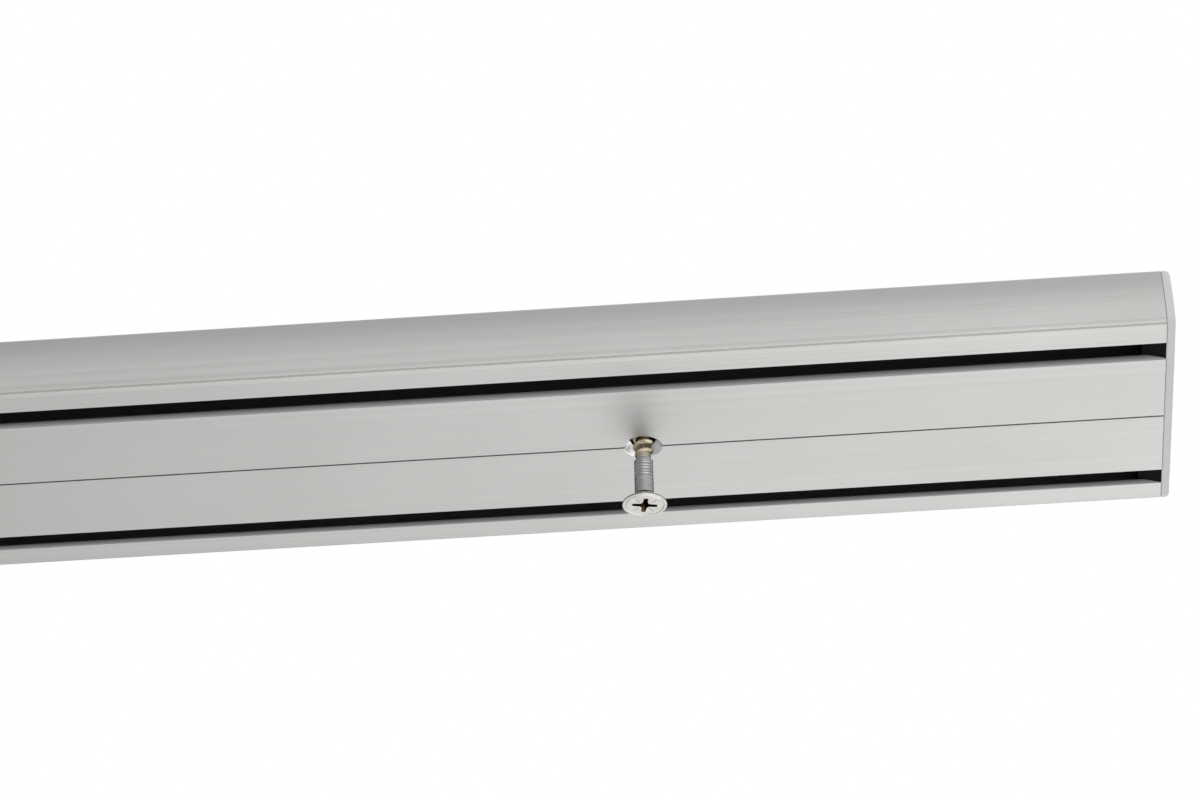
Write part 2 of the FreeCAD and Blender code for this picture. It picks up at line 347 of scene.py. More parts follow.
def draw_outside(x):
    """From the side's foot, over the shoulder, to the middle of the top."""
    sweep(at(SIDE_AXIS, FOOT, x), SIDE_SWEEP)
    sweep(at(SHOULDER_AXIS, HEIGHT - SHOULDER_RADIUS, x), math.pi / 2 - SIDE_SWEEP)
    draw_to(at(0, HEIGHT, x))


def draw_channel(gap, x):
    """From the channel's inner foot over its roof to its outer foot, shrunk by gap."""
    roof = HEIGHT - WALL - gap
    radius = SIDE_RADIUS - WALL - gap
    foot = LIP_THICK + gap
    draw_to(at(CHANNEL_IN + gap, roof, x))
    draw_to(at(SHOULDER_AXIS, roof, x))
    sweep(at(SHOULDER_AXIS, HEIGHT - SHOULDER_RADIUS, x), SIDE_SWEEP - math.pi / 2)
    below = math.asin((foot - FOOT) / radius)
    sweep(at(SIDE_AXIS, FOOT, x), below - SIDE_SWEEP)


print("channel roof in mm:", round((HEIGHT - WALL) / MM, 2), "above the underside")

# %% [markdown]
# ## The rail
#
# Only half of the section is drawn, since the rail is its own mirror image. The outline
# starts in the root of the centre groove, goes round the channel through its slot, over the
# outside, and back through the hollow in the middle. It is pushed along the rail's length,
# the faces on the middle plane are taken out, and a mirror makes the other half. A rail
# could also be cut from a block, but a pushed outline is what the die makes.

# %% Half a section, pushed and mirrored
SLOT_EDGE = 0.14 * MM


def draw_slot_and_channel(x):
    draw_through([at(GROOVE_WIDTH / 2, 0, x), at(SLOT_IN, 0, x), at(SLOT_IN, LIP_THICK, x),
                  at(CHANNEL_IN, LIP_THICK, x)])
    draw_channel(0, x)
    draw_through([at(SLOT_OUT, LIP_THICK, x), at(SLOT_OUT, LIP_RISE, x), at(FOOT_AXIS, LIP_RISE, x)])


def draw_foot(x):
    """The foot's arc, with the fine line that the die leaves along the corner."""
    start = EDGE_GROOVE_ANGLE - EDGE_GROOVE_SPREAD
    end = EDGE_GROOVE_ANGLE + EDGE_GROOVE_SPREAD
    sweep(at(FOOT_AXIS, FOOT, x), start)
    draw_to(foot_point(EDGE_GROOVE_ANGLE, CORNER_RADIUS - EDGE_GROOVE_DEPTH, x))
    draw_to(foot_point(end, CORNER_RADIUS, x))
    sweep(at(FOOT_AXIS, FOOT, x), math.pi / 2 - end)


def draw_hollow(x):
    draw_through([at(0, HEIGHT - WALL, x), at(HOLLOW_HALF, HEIGHT - WALL, x),
                  at(HOLLOW_HALF, LIP_THICK, x), at(RIB_WIDTH / 2, LIP_THICK, x),
                  at(RIB_WIDTH / 2, RIB_THICK, x), at(0, RIB_THICK, x)])


def round_slot_edges():
    """The die leaves a tiny radius on each corner of the slot."""
    corners = [at(SLOT_IN, 0), at(SLOT_IN, LIP_THICK), at(SLOT_OUT, LIP_THICK), at(SLOT_OUT, LIP_RISE)]
    select_where("VERT", lambda point: any((point - corner).yz.length < TOUCHING for corner in corners))
    bpy.ops.mesh.bevel(offset=SLOT_EDGE, segments=EDGE_STEPS, affect="VERTICES")


def make_rail():
    start = rail_low.x
    rail = begin("rail_extrusion", at(0, GROOVE_DEPTH, start))
    draw_slot_and_channel(start)
    draw_foot(start)
    draw_outside(start)
    draw_hollow(start)
    close()
    round_slot_edges()
    push(ALONG * LENGTH)
    open_middle()
    mirror_across(rail)
    return rail


rail = make_rail()
print("rail before its holes:", count_triangles(rail), "triangles")

# %% [markdown]
# ## The countersunk holes
#
# A countersink is a cone that runs into a bore. A cone and a cylinder could cut it one
# after the other, but one profile spun about the hole's axis leaves a cleaner edge between
# them. Its mouth is eased a little, because a real bit leaves no knife edge there. The same
# cutter is turned at each place along the rail and cut away.

# %% Drilling the holes
MOUTH_EASING = [(0, 0), (0.12 * MM, 0.072 * MM), (0.24 * MM, 0.24 * MM)]
CUTTER_REACH = 2 * MM
HOLE_STEPS = 72
SEAM = 1e-7
hole_places = [rail_low.x + HOLE_INSET + number * (LENGTH - 2 * HOLE_INSET) / (HOLE_COUNT - 1)
               for number in range(HOLE_COUNT)]


def turn_round(x, steps):
    """Spins the drawn profile all the way round an upright axis and closes its seam."""
    bpy.ops.mesh.select_all(action="SELECT")
    bpy.ops.mesh.spin(steps=steps, angle=2 * math.pi, center=(x, 0, 0), axis=UPRIGHT)
    bpy.ops.mesh.select_all(action="SELECT")
    bpy.ops.mesh.remove_doubles(threshold=SEAM)
    bpy.ops.mesh.normals_make_consistent(inside=False)
    deselect()


def make_cutter(x):
    rim = COUNTERSINK / 2
    bore = HOLE_BORE / 2
    cutter = begin("hole_cutter", at(0, -CUTTER_REACH, x))
    draw_to(at(rim, -CUTTER_REACH, x))
    for inwards, upwards in MOUTH_EASING:
        draw_to(at(rim - inwards, upwards, x))
    draw_to(at(bore, rim - bore, x))
    draw_to(at(bore, HEIGHT + CUTTER_REACH, x))
    draw_to(at(0, HEIGHT + CUTTER_REACH, x))
    turn_round(x, HOLE_STEPS)
    return cutter


for x in hole_places:
    cut(rail, make_cutter(x))
smooth(rail)
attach(rail, "track")
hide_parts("rail")
print("rail with its holes:", count_triangles(rail), "triangles")

# %% [markdown]
# ## The end caps
#
# A cap is a moulded plate with the rail's own outline and a soft rounded rim. Behind it
# stand a plug for each channel, a wedge that closes the slot's end, and two blades that
# grip inside the hollow. Half of each is drawn and mirrored, as for the rail. A boolean
# could make one skin of them. Joining closed shells that overlap is simpler, and keeps
# every rounded edge.

# %% The cap's plate
CAP_THICK = 1.55 * MM
CAP_ROUNDING = 0.8 * MM
ROUNDING_STEPS = 6
CAP_INNER_EDGE = 0.3 * MM
INNER_EDGE_STEPS = 4


def make_cap_plate(x):
    plate = begin("end_cap_plate", at(0, 0, x))
    draw_through([at(SLOT_IN, 0, x), at(SLOT_OUT, LIP_RISE, x), at(FOOT_AXIS, LIP_RISE, x)])
    sweep(at(FOOT_AXIS, FOOT, x), math.pi / 2)
    draw_outside(x)
    close()
    push(ALONG * CAP_THICK)
    open_middle()
    mirror_across(plate)
    bpy.ops.object.mode_set(mode="EDIT")
    select_where("EDGE", lambda point: near(point.x, x + CAP_THICK))
    bpy.ops.mesh.bevel(offset=CAP_ROUNDING, segments=ROUNDING_STEPS)
    select_where("EDGE", lambda point: near(point.x, x))
    bpy.ops.mesh.bevel(offset=CAP_INNER_EDGE, segments=INNER_EDGE_STEPS)
    deselect()
    return plate


cap_plate = make_cap_plate(rail_high.x)
print("cap plate:", count_triangles(cap_plate), "triangles")

# %% Plugs, wedges and blades
CAP_GAP = 0.1 * MM
PLUG_LENGTH = 4 * MM
PLUG_EDGE = 0.35 * MM
BLADE_THICK = 1.6 * MM
BLADE_LENGTH = 9 * MM


def make_plug(x):
    plug = begin("cap_plug", at(CHANNEL_IN + CAP_GAP, LIP_THICK + CAP_GAP, x))
    draw_channel(CAP_GAP, x)
    close()
    push(ALONG * -PLUG_LENGTH)
    break_edges(plug, PLUG_EDGE)
    mirror_across(plug)
    return plug


def make_wedge(x):
    side = SLOT_IN + CAP_GAP
    top = LIP_THICK + CAP_GAP
    wedge = begin("cap_wedge", at(side, LIP_RISE + CAP_GAP, x))
    draw_through([at(side, top, x), at(side, top, x - PLUG_LENGTH)])
    close()
    push(ACROSS * (SLOT_WIDTH - 2 * CAP_GAP))
    mirror_across(wedge)
    return wedge


def make_blade(x):
    outer = HOLLOW_HALF - CAP_GAP
    inner = outer - BLADE_THICK
    foot = RIB_THICK + CAP_GAP
    top = HEIGHT - WALL - CAP_GAP
    blade = begin("cap_blade", at(inner, foot, x))
    draw_through([at(outer, foot, x), at(outer, top, x), at(inner, top, x)])
    close()
    push(ALONG * -BLADE_LENGTH)
    break_edges(blade, PLUG_EDGE)
    mirror_across(blade)
    return blade


def join(*pieces):
    """Joins the pieces to the first one."""
    pick(*pieces)
    bpy.ops.object.join()
    return pieces[0]


right_cap = join(cap_plate, make_plug(rail_high.x), make_wedge(rail_high.x), make_blade(rail_high.x))
right_cap.name = "cap_right"
smooth(right_cap)
print("right cap:", count_triangles(right_cap), "triangles")

# %% [markdown]
# ## The left cap
#
# Both ends of a real track take the same moulding, so the left cap is a copy turned half
# round. The turn is made in its own mesh, and its object stays at the origin.

# %% The left cap
def copy_piece(piece, name, matrix):
    """A copy with its own mesh, which is moved there and not by its object."""
    twin = piece.copy()
    twin.data = piece.data.copy()
    twin.name = name
    twin.data.name = name
    twin.data.transform(matrix)
    scene.collection.objects.link(twin)
    return twin


left_cap = copy_piece(right_cap, "cap_left", Matrix.Rotation(math.pi, 4, "Z"))
for piece, node in ((right_cap, "end_cap_right"), (left_cap, "end_cap_left")):
    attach(piece, "track")
    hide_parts(node)
print("left cap:", count_triangles(left_cap), "triangles")

# %% [markdown]
# ## The fixing screw
#
# The screw has a thin rim, a cone with a soft fillet under it, a plain shank with a few
# fine rings, and a core for the thread. Cones and cylinders could be stacked to make it.
# Here one profile is drawn from the middle of the head's face to the point, and spun once
# round, as on a lathe.

# %% The screw's sizes
screw_low, screw_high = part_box("fixing_screw")
SCREW_X = (screw_low.x + screw_high.x) / 2
SCREW_LENGTH = screw_high.z - screw_low.z
HEAD_RADIUS = 3.9 * MM
HEAD_RIM = 0.45 * MM
CONE_RADIUS = 3.3 * MM
SHANK_RADIUS = 1.65 * MM
SHANK_LENGTH = 9 * MM
SHANK_EDGE = 0.15 * MM
THREAD_RADIUS = 1.85 * MM
THREAD_PITCH = 1.7 * MM
CORE_RADIUS = 1.3 * MM
CORE_NECK = 0.9 * MM
POINT_LENGTH = 3 * MM
print("screw length in mm:", round(SCREW_LENGTH / MM, 1))

# %% Turning the screw
FACE_LINE = [(0.82, 0), (0.85, 0.09 * MM), (0.88, 0)]
FACE_EDGE = 0.13 * MM
BACK_EDGE = 0.2 * MM
FILLET_START = 0.3 * MM
FILLET_MIDDLE = 0.1 * MM
FILLET_RISE = 0.5 * MM
RING_START = 5.4 * MM
RING_PITCH = 0.58 * MM
RING_COUNT = 5
RING_PROFILE = [(0, 0), (0.12 * MM, 0.3), (0, 0.6)]
CORE_STEPS = 150
POINT_STEPS = 30
POINT_FULLNESS = 0.8
SCREW_STEPS = 64


def on_screw(radius, height):
    return Vector((SCREW_X + radius, 0, screw_low.z + height))


def draw_head():
    """The face has a shallow turned line near its edge, and the flange a small radius."""
    for share, depth in FACE_LINE:
        draw_to(on_screw(share * HEAD_RADIUS, depth))
    draw_to(on_screw(HEAD_RADIUS - FACE_EDGE, 0))
    sweep(on_screw(HEAD_RADIUS - FACE_EDGE, FACE_EDGE), -math.pi / 2, ACROSS)
    draw_to(on_screw(HEAD_RADIUS, HEAD_RIM - BACK_EDGE))
    sweep(on_screw(HEAD_RADIUS - BACK_EDGE, HEAD_RIM - BACK_EDGE), -math.pi / 2, ACROSS)
    draw_to(on_screw(CONE_RADIUS, HEAD_RIM))


def draw_fillet():
    """The cone runs into the shank by two softer steps."""
    cone_end = HEAD_RIM + CONE_RADIUS - SHANK_RADIUS
    draw_to(on_screw(SHANK_RADIUS + FILLET_START, cone_end - FILLET_START))
    draw_to(on_screw(SHANK_RADIUS + FILLET_MIDDLE, cone_end))
    draw_to(on_screw(SHANK_RADIUS, cone_end + FILLET_RISE))


def draw_rings():
    """Fine turned rings on the shank."""
    for number in range(RING_COUNT):
        for depth, share in RING_PROFILE:
            draw_to(on_screw(SHANK_RADIUS - depth, RING_START + (number + share) * RING_PITCH))


def draw_core():
    """Small even steps, so that the thread has enough vertices to be raised from."""
    foot = SHANK_LENGTH + SHANK_EDGE
    top = SCREW_LENGTH - POINT_LENGTH
    draw_to(on_screw(SHANK_RADIUS, SHANK_LENGTH - SHANK_EDGE))
    draw_to(on_screw(SHANK_RADIUS - SHANK_EDGE, SHANK_LENGTH))
    draw_to(on_screw(CORE_RADIUS, foot))
    for number in range(1, CORE_STEPS + 1):
        draw_to(on_screw(CORE_RADIUS, foot + (top - foot) * number / CORE_STEPS))
    for number in range(1, POINT_STEPS):
        share = number / POINT_STEPS
        draw_to(on_screw(CORE_RADIUS * (1 - share) ** POINT_FULLNESS, top + POINT_LENGTH * share))
    draw_to(on_screw(0, SCREW_LENGTH))


def make_screw():
    screw = begin("screw_turned", on_screw(0, 0))
    draw_head()
    draw_fillet()
    draw_rings()
    draw_core()
    turn_round(SCREW_X, SCREW_STEPS)
    return screw


screw = make_screw()
print("turned screw:", count_triangles(screw), "triangles")

# %% [markdown]
# ## The thread
#
# A thread could be swept as a solid of its own and joined, but then the skins would cross.
# Here it is raised on the core's own mesh: each vertex moves outwards by how near it lies
# to the crest of the helix, so that the screw stays one closed skin. The thread fades in
# over half a turn and out over one and a half.

# %% Raising the thread
CREST_HALF = 0.2
FADE_IN = 0.5 * THREAD_PITCH
FADE_OUT = 1.5 * THREAD_PITCH
THREAD_END = 0.4 * MM


def crest(height, angle):
    """One on the helix's crest, falling to nothing a fifth of a turn's rise away."""
    phase = (height / THREAD_PITCH - angle / (2 * math.pi)) % 1
    return max(0.0, 1 - abs(phase - 0.5) / CREST_HALF)


def raise_thread(screw):
    bottom = SHANK_LENGTH + CORE_NECK
    top = SCREW_LENGTH - THREAD_END
    for vertex in screw.data.vertices:
        offset = Vector((vertex.co.x - SCREW_X, vertex.co.y, 0))
        height = vertex.co.z - screw_low.z
        if bottom < height < top and offset.length > 0:
            fade = min(1, (height - bottom) / FADE_IN, (top - height) / FADE_OUT)
            lift = crest(height, math.atan2(offset.y, offset.x)) * fade
            vertex.co += offset.normalized() * (THREAD_RADIUS - CORE_RADIUS) * lift


raise_thread(screw)
turns = (SCREW_LENGTH - THREAD_END - SHANK_LENGTH - CORE_NECK) / THREAD_PITCH
print("thread:", round(turns, 1), "turns")

# %% [markdown]
# ## The cross recess
#
# The driver's recess is a cross with tapering arms, and between them four short fine lines
# that mark this kind of cross. The cutter is drawn as a cross, pushed into the head and
# scaled down at its far end, so that the arms taper as the real punch does.

# %% Punching the recess
QUARTER = math.pi / 2
RECESS_SPAN = 4.5 * MM
RECESS_ARM = 0.95 * MM
RECESS_ARM_END = 0.76 * MM
RECESS_FLARE = 0.35 * MM
RECESS_DEPTH = 2.2 * MM
RECESS_TAPER = 0.6
RECESS_TURN = math.radians(11)
MARK_INNER = 1.3 * MM
MARK_OUTER = 2.6 * MM
MARK_WIDTH = 0.10 * MM
MARK_DEPTH = 0.04 * MM
PUNCH_START = 0.2 * MM


def turned(across, up, angle):
    """A point just outside the head's face, turned about the screw's axis."""
    x = across * math.cos(angle) - up * math.sin(angle)
    y = across * math.sin(angle) + up * math.cos(angle)
    return Vector((SCREW_X + x, y, screw_low.z - PUNCH_START))


def make_cross():
    span, arm, end = RECESS_SPAN / 2, RECESS_ARM / 2, RECESS_ARM_END / 2
    flare = arm + RECESS_FLARE
    corners = [(span, -end), (span, end), (flare, arm), (arm, flare)]
    points = [turned(*corner, RECESS_TURN + number * QUARTER) for number in range(4) for corner in corners]
    cross = begin("recess_cutter", points[0])
    draw_through(points[1:])
    close()
    offset = UPRIGHT * (RECESS_DEPTH + PUNCH_START)
    bpy.ops.mesh.extrude_region_move(TRANSFORM_OT_translate={"value": offset})
    bpy.ops.transform.resize(value=(RECESS_TAPER, RECESS_TAPER, 1), center_override=(SCREW_X, 0, 0))
    bpy.ops.mesh.select_all(action="SELECT")
    bpy.ops.mesh.normals_make_consistent(inside=False)
    return cross


def make_mark(angle):
    half = MARK_WIDTH / 2
    mark = begin("mark_cutter", turned(MARK_INNER, -half, angle))
    draw_through([turned(MARK_OUTER, -half, angle), turned(MARK_OUTER, half, angle),
                  turned(MARK_INNER, half, angle)])
    close()
    push(UPRIGHT * (MARK_DEPTH + PUNCH_START))
    return mark


cut(screw, make_cross())
for number in range(4):
    cut(screw, make_mark(RECESS_TURN + QUARTER / 2 + number * QUARTER))
smooth(screw)
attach(screw, "fixing_screw")
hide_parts("fixing_screw")
print("screw with its recess:", count_triangles(screw), "triangles")

# %% [markdown]
# ## The gliders
#
# A glider is one small moulding: a flat head that rides on the channel's lips, a neck that
# passes through the slot, and an eye for the curtain's hook. A cube could be cut and pulled
# into this shape, but three plain solids keep their sizes better. They are drawn at the
# first node's place, with their edges broken, and joined where they overlap.

# %% The glider's head and neck
GLIDER_LENGTH = 12 * MM
GLIDER_THICK = 2.2 * MM
GLIDER_GAP = 0.15 * MM
GLIDER_EDGE = 0.3 * MM
FLANK_GAP = 1.78 * MM
HEAD_CHAMFER = 2.4 * MM
NECK_LENGTH = 6 * MM
NECK_GAP = 0.35 * MM
glider_low, glider_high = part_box("front_glider_1")
GLIDER_X = (glider_low.x + glider_high.x) / 2
GLIDER_Y = (glider_low.y + glider_high.y) / 2


def on_glider(x, y, height):
    return Vector((GLIDER_X + x, GLIDER_Y + y, UNDERSIDE + height))


def make_block(name, corners, foot, rise):
    """An upright block over these corners, with its edges broken."""
    points = [on_glider(x, y, foot) for x, y in corners]
    block = begin(name, points[0])
    draw_through(points[1:])
    close()
    push(UPRIGHT * rise)
    break_edges(block, GLIDER_EDGE)
    return block


def make_glider_head():
    end, half = GLIDER_LENGTH / 2, CHANNEL_WIDTH / 2 - FLANK_GAP
    short, narrow = end - HEAD_CHAMFER, half - HEAD_CHAMFER
    corners = [(-short, -half), (short, -half), (end, -narrow), (end, narrow),
               (short, half), (-short, half), (-end, narrow), (-end, -narrow)]
    return make_block("glider_head", corners, LIP_THICK + GLIDER_GAP, GLIDER_THICK)


def make_glider_neck():
    x, y = NECK_LENGTH / 2, SLOT_WIDTH / 2 - NECK_GAP
    top = LIP_THICK + 2 * GLIDER_GAP
    return make_block("glider_neck", [(-x, -y), (x, -y), (x, y), (-x, y)], top, -top - GLIDER_GAP)


glider_head = make_glider_head()
glider_neck = make_glider_neck()
print("head and neck:", count_triangles(glider_head) + count_triangles(glider_neck), "triangles")

# %% The glider's eye
EYE_WIDTH = 8 * MM
EYE_HOLE = 4.4 * MM
EYE_THICK = 2.6 * MM
EYE_DROP = 5.2 * MM


def make_glider_eye():
    half, thick = EYE_WIDTH / 2, EYE_THICK / 2
    centre = -GLIDER_GAP - EYE_DROP
    tab = begin("glider_eye", on_glider(-half, -thick, -GLIDER_GAP))
    draw_to(on_glider(-half, -thick, centre))
    sweep(on_glider(0, -thick, centre), -math.pi, ACROSS)
    draw_to(on_glider(half, -thick, -GLIDER_GAP))
    close()
    push(ACROSS * EYE_THICK)
    hole = begin("eye_cutter", on_glider(-EYE_HOLE / 2, -EYE_THICK, centre))
    sweep(on_glider(0, -EYE_THICK, centre), 2 * math.pi, ACROSS)
    close()
    push(ACROSS * 2 * EYE_THICK)
    cut(tab, hole)
    break_edges(tab, GLIDER_EDGE)
    return tab


glider = join(glider_head, glider_neck, make_glider_eye())
glider.name = "glider_front_1"
smooth(glider)
print("glider:", count_triangles(glider), "triangles")

# %% [markdown]
# ## Sixteen gliders
#
# Every glider is the same moulding, so the first is copied to each of the other nodes. An
# array would make them in one step, but each glider moves on its own and needs its own mesh.

# %% A glider at every node
glider_nodes = sorted(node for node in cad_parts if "_glider_" in node)
gliders = []
for node in glider_nodes:
    shift = Matrix.Translation(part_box(node)[0] - glider_low)
    name = node.replace("_glider_", "_runner_")
    piece = glider if node == "front_glider_1" else copy_piece(glider, name, shift)
    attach(piece, node)
    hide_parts(node)
    gliders.append(piece)
print(len(gliders), "gliders stand in their channels")

# %% [markdown]
# ## Materials
#
# First come the effects that more than one material uses, as node groups. Extruded and
# turned metal both show fine lines, and everything that has been handled is a little
# uneven in its shine. The groups only put out masks; each material decides what a mask
# does to its own colour, roughness and relief.

# %% Node groups
HALF = 0.5


def new_group(name, inputs):
    group = bpy.data.node_groups.new(name, "ShaderNodeTree")
    for label, kind, default in inputs:
        socket = group.interface.new_socket(name=label, in_out="INPUT", socket_type=kind)
        if default is not None:
            socket.default_value = default
    group.interface.new_socket(name="Mask", in_out="OUTPUT", socket_type="NodeSocketFloat")
    return group, group.nodes.new("NodeGroupInput"), group.nodes.new("NodeGroupOutput")


def fine_lines_group():
    """Noise that is stretched far along one axis, as lines that a die or a cutter draws."""
    inputs = [("Vector", "NodeSocketVector", None), ("Stretch", "NodeSocketVector", (1, 800, 800)),
              ("Contrast", "NodeSocketFloat", 1.0)]
    group, given, out = new_group("fine_lines", inputs)
    stretch = group.nodes.new("ShaderNodeVectorMath")
    stretch.operation = "MULTIPLY"
    noise = group.nodes.new("ShaderNodeTexNoise")
    noise.inputs["Scale"].default_value = 1
    noise.inputs["Detail"].default_value = 5
    noise.inputs["Roughness"].default_value = 0.65
    around = group.nodes.new("ShaderNodeMath")
    around.operation = "SUBTRACT"
    around.inputs[1].default_value = HALF
    scaled = group.nodes.new("ShaderNodeMath")
    scaled.operation = "MULTIPLY_ADD"
    scaled.inputs[2].default_value = HALF
    scaled.use_clamp = True
    link = group.links.new
    link(given.outputs["Vector"], stretch.inputs[0])
    link(given.outputs["Stretch"], stretch.inputs[1])
    link(stretch.outputs[0], noise.inputs["Vector"])
    link(noise.outputs["Fac"], around.inputs[0])
    link(around.outputs[0], scaled.inputs[0])
    link(given.outputs["Contrast"], scaled.inputs[1])
    link(scaled.outputs[0], out.inputs["Mask"])
    return group


def handling_group():
    """Broad soft patches, as hands and packing leave on a clean surface."""
    inputs = [("Vector", "NodeSocketVector", None), ("Size", "NodeSocketFloat", 60.0)]
    group, given, out = new_group("handling", inputs)
    noise = group.nodes.new("ShaderNodeTexNoise")
    noise.inputs["Detail"].default_value = 3
    noise.inputs["Distortion"].default_value = 0.4
    ramp = group.nodes.new("ShaderNodeMapRange")
    ramp.inputs["From Min"].default_value = 0.35
    ramp.inputs["From Max"].default_value = 0.65
    link = group.links.new
    link(given.outputs["Vector"], noise.inputs["Vector"])
    link(given.outputs["Size"], noise.inputs["Scale"])
    link(noise.outputs["Fac"], ramp.inputs["Value"])
    link(ramp.outputs["Result"], out.inputs["Mask"])
    return group


FINE_LINES = fine_lines_group()
HANDLING = handling_group()
print("groups:", FINE_LINES.name, HANDLING.name)

# %% [markdown]
# ## Helpers for a material
#
# Each material starts from the Principled shader and the Object coordinates, which stay on
# the piece when it moves. A mask can then mix two colours, set a value between two limits,
# or stand as the height of a fine relief.

# %% A material with its shader ready
def new_material(name, metallic, roughness, **sockets):
    material = bpy.data.materials.new(name)
    material.use_nodes = True
    nodes = material.node_tree.nodes
    shader = nodes["Principled BSDF"]
    shader.inputs["Metallic"].default_value = metallic
    shader.inputs["Roughness"].default_value = roughness
    for label, value in sockets.items():
        shader.inputs[label.replace("_", " ")].default_value = value
    place = nodes.new("ShaderNodeTexCoord")
    return material, shader, place.outputs["Object"]


def add_group(material, group, vector, **values):
    node = material.node_tree.nodes.new("ShaderNodeGroup")
    node.node_tree = group
    material.node_tree.links.new(vector, node.inputs["Vector"])
    for label, value in values.items():
        node.inputs[label].default_value = value
    return node.outputs["Mask"]


def mix_colours(material, mask, dark, light, target):
    mix = material.node_tree.nodes.new("ShaderNodeMix")
    mix.data_type = "RGBA"
    mix.inputs["A"].default_value = (*dark, 1)
    mix.inputs["B"].default_value = (*light, 1)
    material.node_tree.links.new(mask, mix.inputs["Factor"])
    material.node_tree.links.new(mix.outputs["Result"], target)


def map_value(material, mask, target, low, high):
    ramp = material.node_tree.nodes.new("ShaderNodeMapRange")
    ramp.inputs["To Min"].default_value = low
    ramp.inputs["To Max"].default_value = high
    material.node_tree.links.new(mask, ramp.inputs["Value"])
    material.node_tree.links.new(ramp.outputs["Result"], target)


def add_bump(material, height, shader, strength, distance):
    bump = material.node_tree.nodes.new("ShaderNodeBump")
    bump.inputs["Strength"].default_value = strength
    bump.inputs["Distance"].default_value = distance
    material.node_tree.links.new(height, bump.inputs["Height"])
    material.node_tree.links.new(bump.outputs["Normal"], shader.inputs["Normal"])


def dress(piece, *materials):
    """Gives the piece these materials, in the order that its faces count them."""
    piece.data.materials.clear()
    for material in materials:
        piece.data.materials.append(material)


print("materials before the first finish:", len(bpy.data.materials))

# %% [markdown]
# ## Satin anodised aluminium
#
# The rail's finish is a thin clear oxide over etched metal: neutral light grey, soft in its
# reflections, with faint lines along the extrusion. The lines are long noise along X. They
# shift the colour by a few hundredths and tilt the surface slightly, which blurs what the
# rail mirrors across the lines more than along them. Inside the channels, in the middle
# hollow and in the centre groove the metal is painted dark and dim: painted shade, where
# little light reaches.

# %% Outer finish and the painted shade inside
ALUMINIUM_DARK = (0.800, 0.797, 0.782)
ALUMINIUM_LIGHT = (0.900, 0.897, 0.878)
# Painted shade: these dark colours stand in for the shade inside the channels, the middle hollow and the
# centre groove.
CHANNEL_SHADE_DARK = (0.20, 0.19, 0.18)
CHANNEL_SHADE_LIGHT = (0.32, 0.30, 0.29)


def anodised():
    material, shader, place = new_material("anodised_aluminium", metallic=1.0, roughness=0.53)
    lines = add_group(material, FINE_LINES, place, Stretch=(2.5, 1500, 1500), Contrast=1.6)
    patches = add_group(material, HANDLING, place, Size=25.0)
    mix_colours(material, lines, ALUMINIUM_DARK, ALUMINIUM_LIGHT, shader.inputs["Base Color"])
    map_value(material, patches, shader.inputs["Roughness"], low=0.51, high=0.56)
    add_bump(material, lines, shader, strength=0.25, distance=0.01 * MM)
    return material


def painted_channel_shade():
    material, shader, place = new_material("channel_painted_shade", metallic=1.0, roughness=0.5)
    lines = add_group(material, FINE_LINES, place, Stretch=(2.5, 900, 900), Contrast=1.6)
    mix_colours(material, lines, CHANNEL_SHADE_DARK, CHANNEL_SHADE_LIGHT, shader.inputs["Base Color"])
    return material


outer_metal = anodised()
shaded_inner_metal = painted_channel_shade()
print("nodes in the outer and the inner finish:", len(outer_metal.node_tree.nodes),
      len(shaded_inner_metal.node_tree.nodes))

# %% [markdown]
# ## The holes and the slot walls
#
# In the holes the bit has cut through the oxide, and the bare metal shows tight rings and
# a sharper shine. The bore's brown and cream are a painted reflection. The slots' narrow
# walls are matt and carry painted shade: they darken upwards, so their colour is mixed by
# the height of the place itself, which is the Z of the Object coordinates.

# %% Bare metal with a painted reflection, and slot walls with painted shade
CONE_DARK = (0.80, 0.80, 0.81)
CONE_LIGHT = (1.0, 1.0, 0.99)
# Painted reflection: the brown and cream on the bore stand in for the warm glints that it mirrors.
BORE_REFLECTION_DARK = (0.30, 0.22, 0.10)
BORE_REFLECTION_LIGHT = (0.80, 0.70, 0.50)
# Painted shade: the slot walls are dark at the top and light at the bottom, where more light comes in.
LIP_PAINTED_SHADE = (0.16, 0.155, 0.17)
LIP_PAINTED_LIGHT = (0.80, 0.78, 0.82)
LIP_FADE_END = 0.1 * LIP_THICK


def machined(name, dark, light):
    material, shader, place = new_material(name, metallic=1.0, roughness=0.24)
    lines = add_group(material, FINE_LINES, place, Stretch=(500, 500, 6000), Contrast=3.5)
    mix_colours(material, lines, dark, light, shader.inputs["Base Color"])
    add_bump(material, lines, shader, strength=0.35, distance=0.01 * MM)
    return material


def lip_painted_shade():
    material, shader, place = new_material("lip_walls_painted_shade", metallic=0.1, roughness=0.6)
    nodes, link = material.node_tree.nodes, material.node_tree.links.new
    parts = nodes.new("ShaderNodeSeparateXYZ")
    fade = nodes.new("ShaderNodeMapRange")
    fade.inputs["From Min"].default_value = UNDERSIDE + LIP_THICK
    fade.inputs["From Max"].default_value = UNDERSIDE + LIP_FADE_END
    link(place, parts.inputs[0])
    link(parts.outputs["Z"], fade.inputs["Value"])
    mix_colours(material, fade.outputs["Result"], LIP_PAINTED_SHADE, LIP_PAINTED_LIGHT, shader.inputs["Base Color"])
    return material


cone_metal = machined("countersink_aluminium", CONE_DARK, CONE_LIGHT)
bore_painted_reflection = machined("bore_reflection_painted", BORE_REFLECTION_DARK, BORE_REFLECTION_LIGHT)
shaded_lip_metal = lip_painted_shade()
print("finishes:", cone_metal.name, bore_painted_reflection.name, shaded_lip_metal.name)

# %% [markdown]
# ## Which face gets which finish
#
# One mesh can carry several materials, and each face names one by its number. The faces
# are told apart by where they lie and which way they look.

